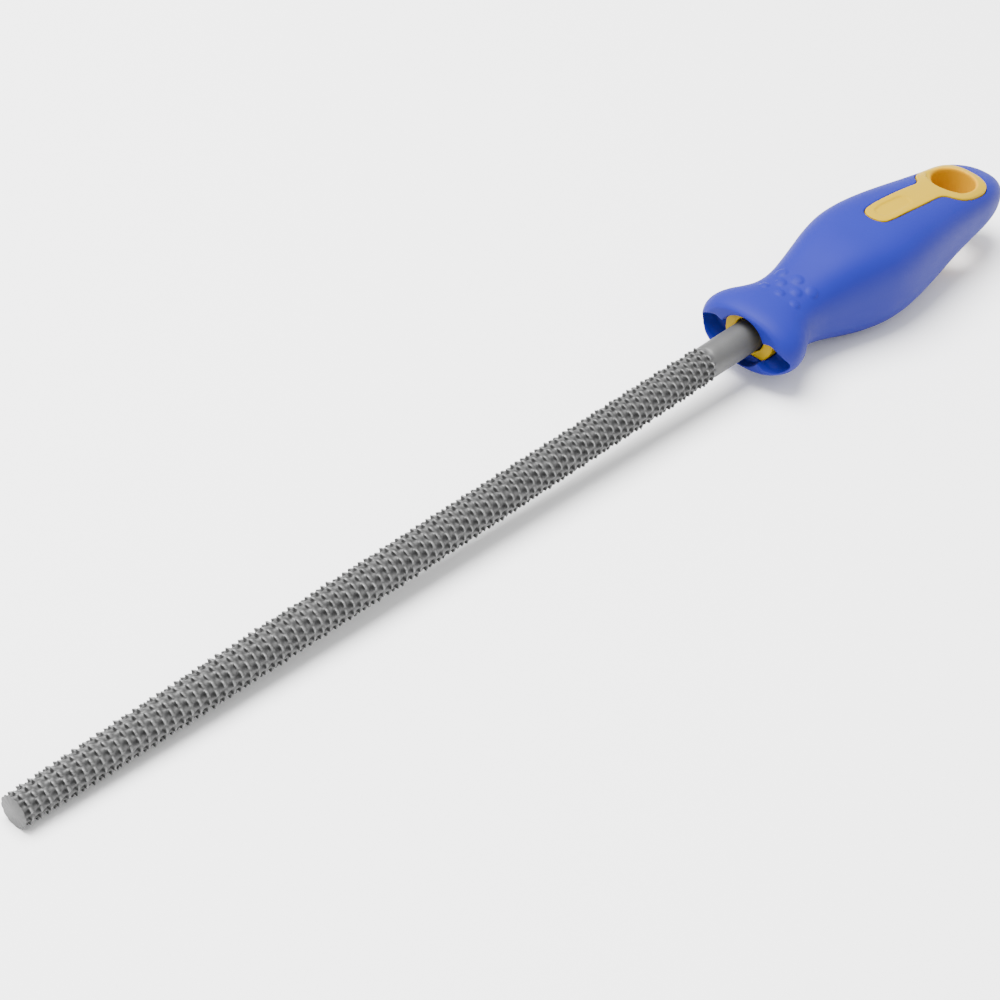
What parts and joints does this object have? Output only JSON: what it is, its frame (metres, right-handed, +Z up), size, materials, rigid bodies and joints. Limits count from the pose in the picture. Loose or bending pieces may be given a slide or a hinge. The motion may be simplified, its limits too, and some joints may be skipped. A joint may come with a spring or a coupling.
{
  "type": "round wood rasp",
  "caption": "Round tapered wood rasp with staggered teeth, a tang and a two-part moulded handle with a flared mouth and a hanging eye.",
  "frame": {"origin": "centre of the bounding box on the surface that the rasp lies on, resting on the end of the blade and on the belly of the grip", "axes": "+X along the tool from the blade's end to the handle's butt, +Y to the side, +Z up, on the side of the handle that shows the hanging eye and its stripe"},
  "size_m": [0.2882, 0.0256, 0.0231],
  "materials": {
    "blade_steel": "dull grey hardened steel with cut teeth",
    "core_plastic": "smooth yellow polypropylene, half gloss",
    "grip_rubber": "matt blue soft moulding"
  },
  "bodies": {
    "root": {"rasp_blade": "blade_steel", "handle_core": "core_plastic", "grip_sleeve": "grip_rubber"}
  },
  "joints": []
}
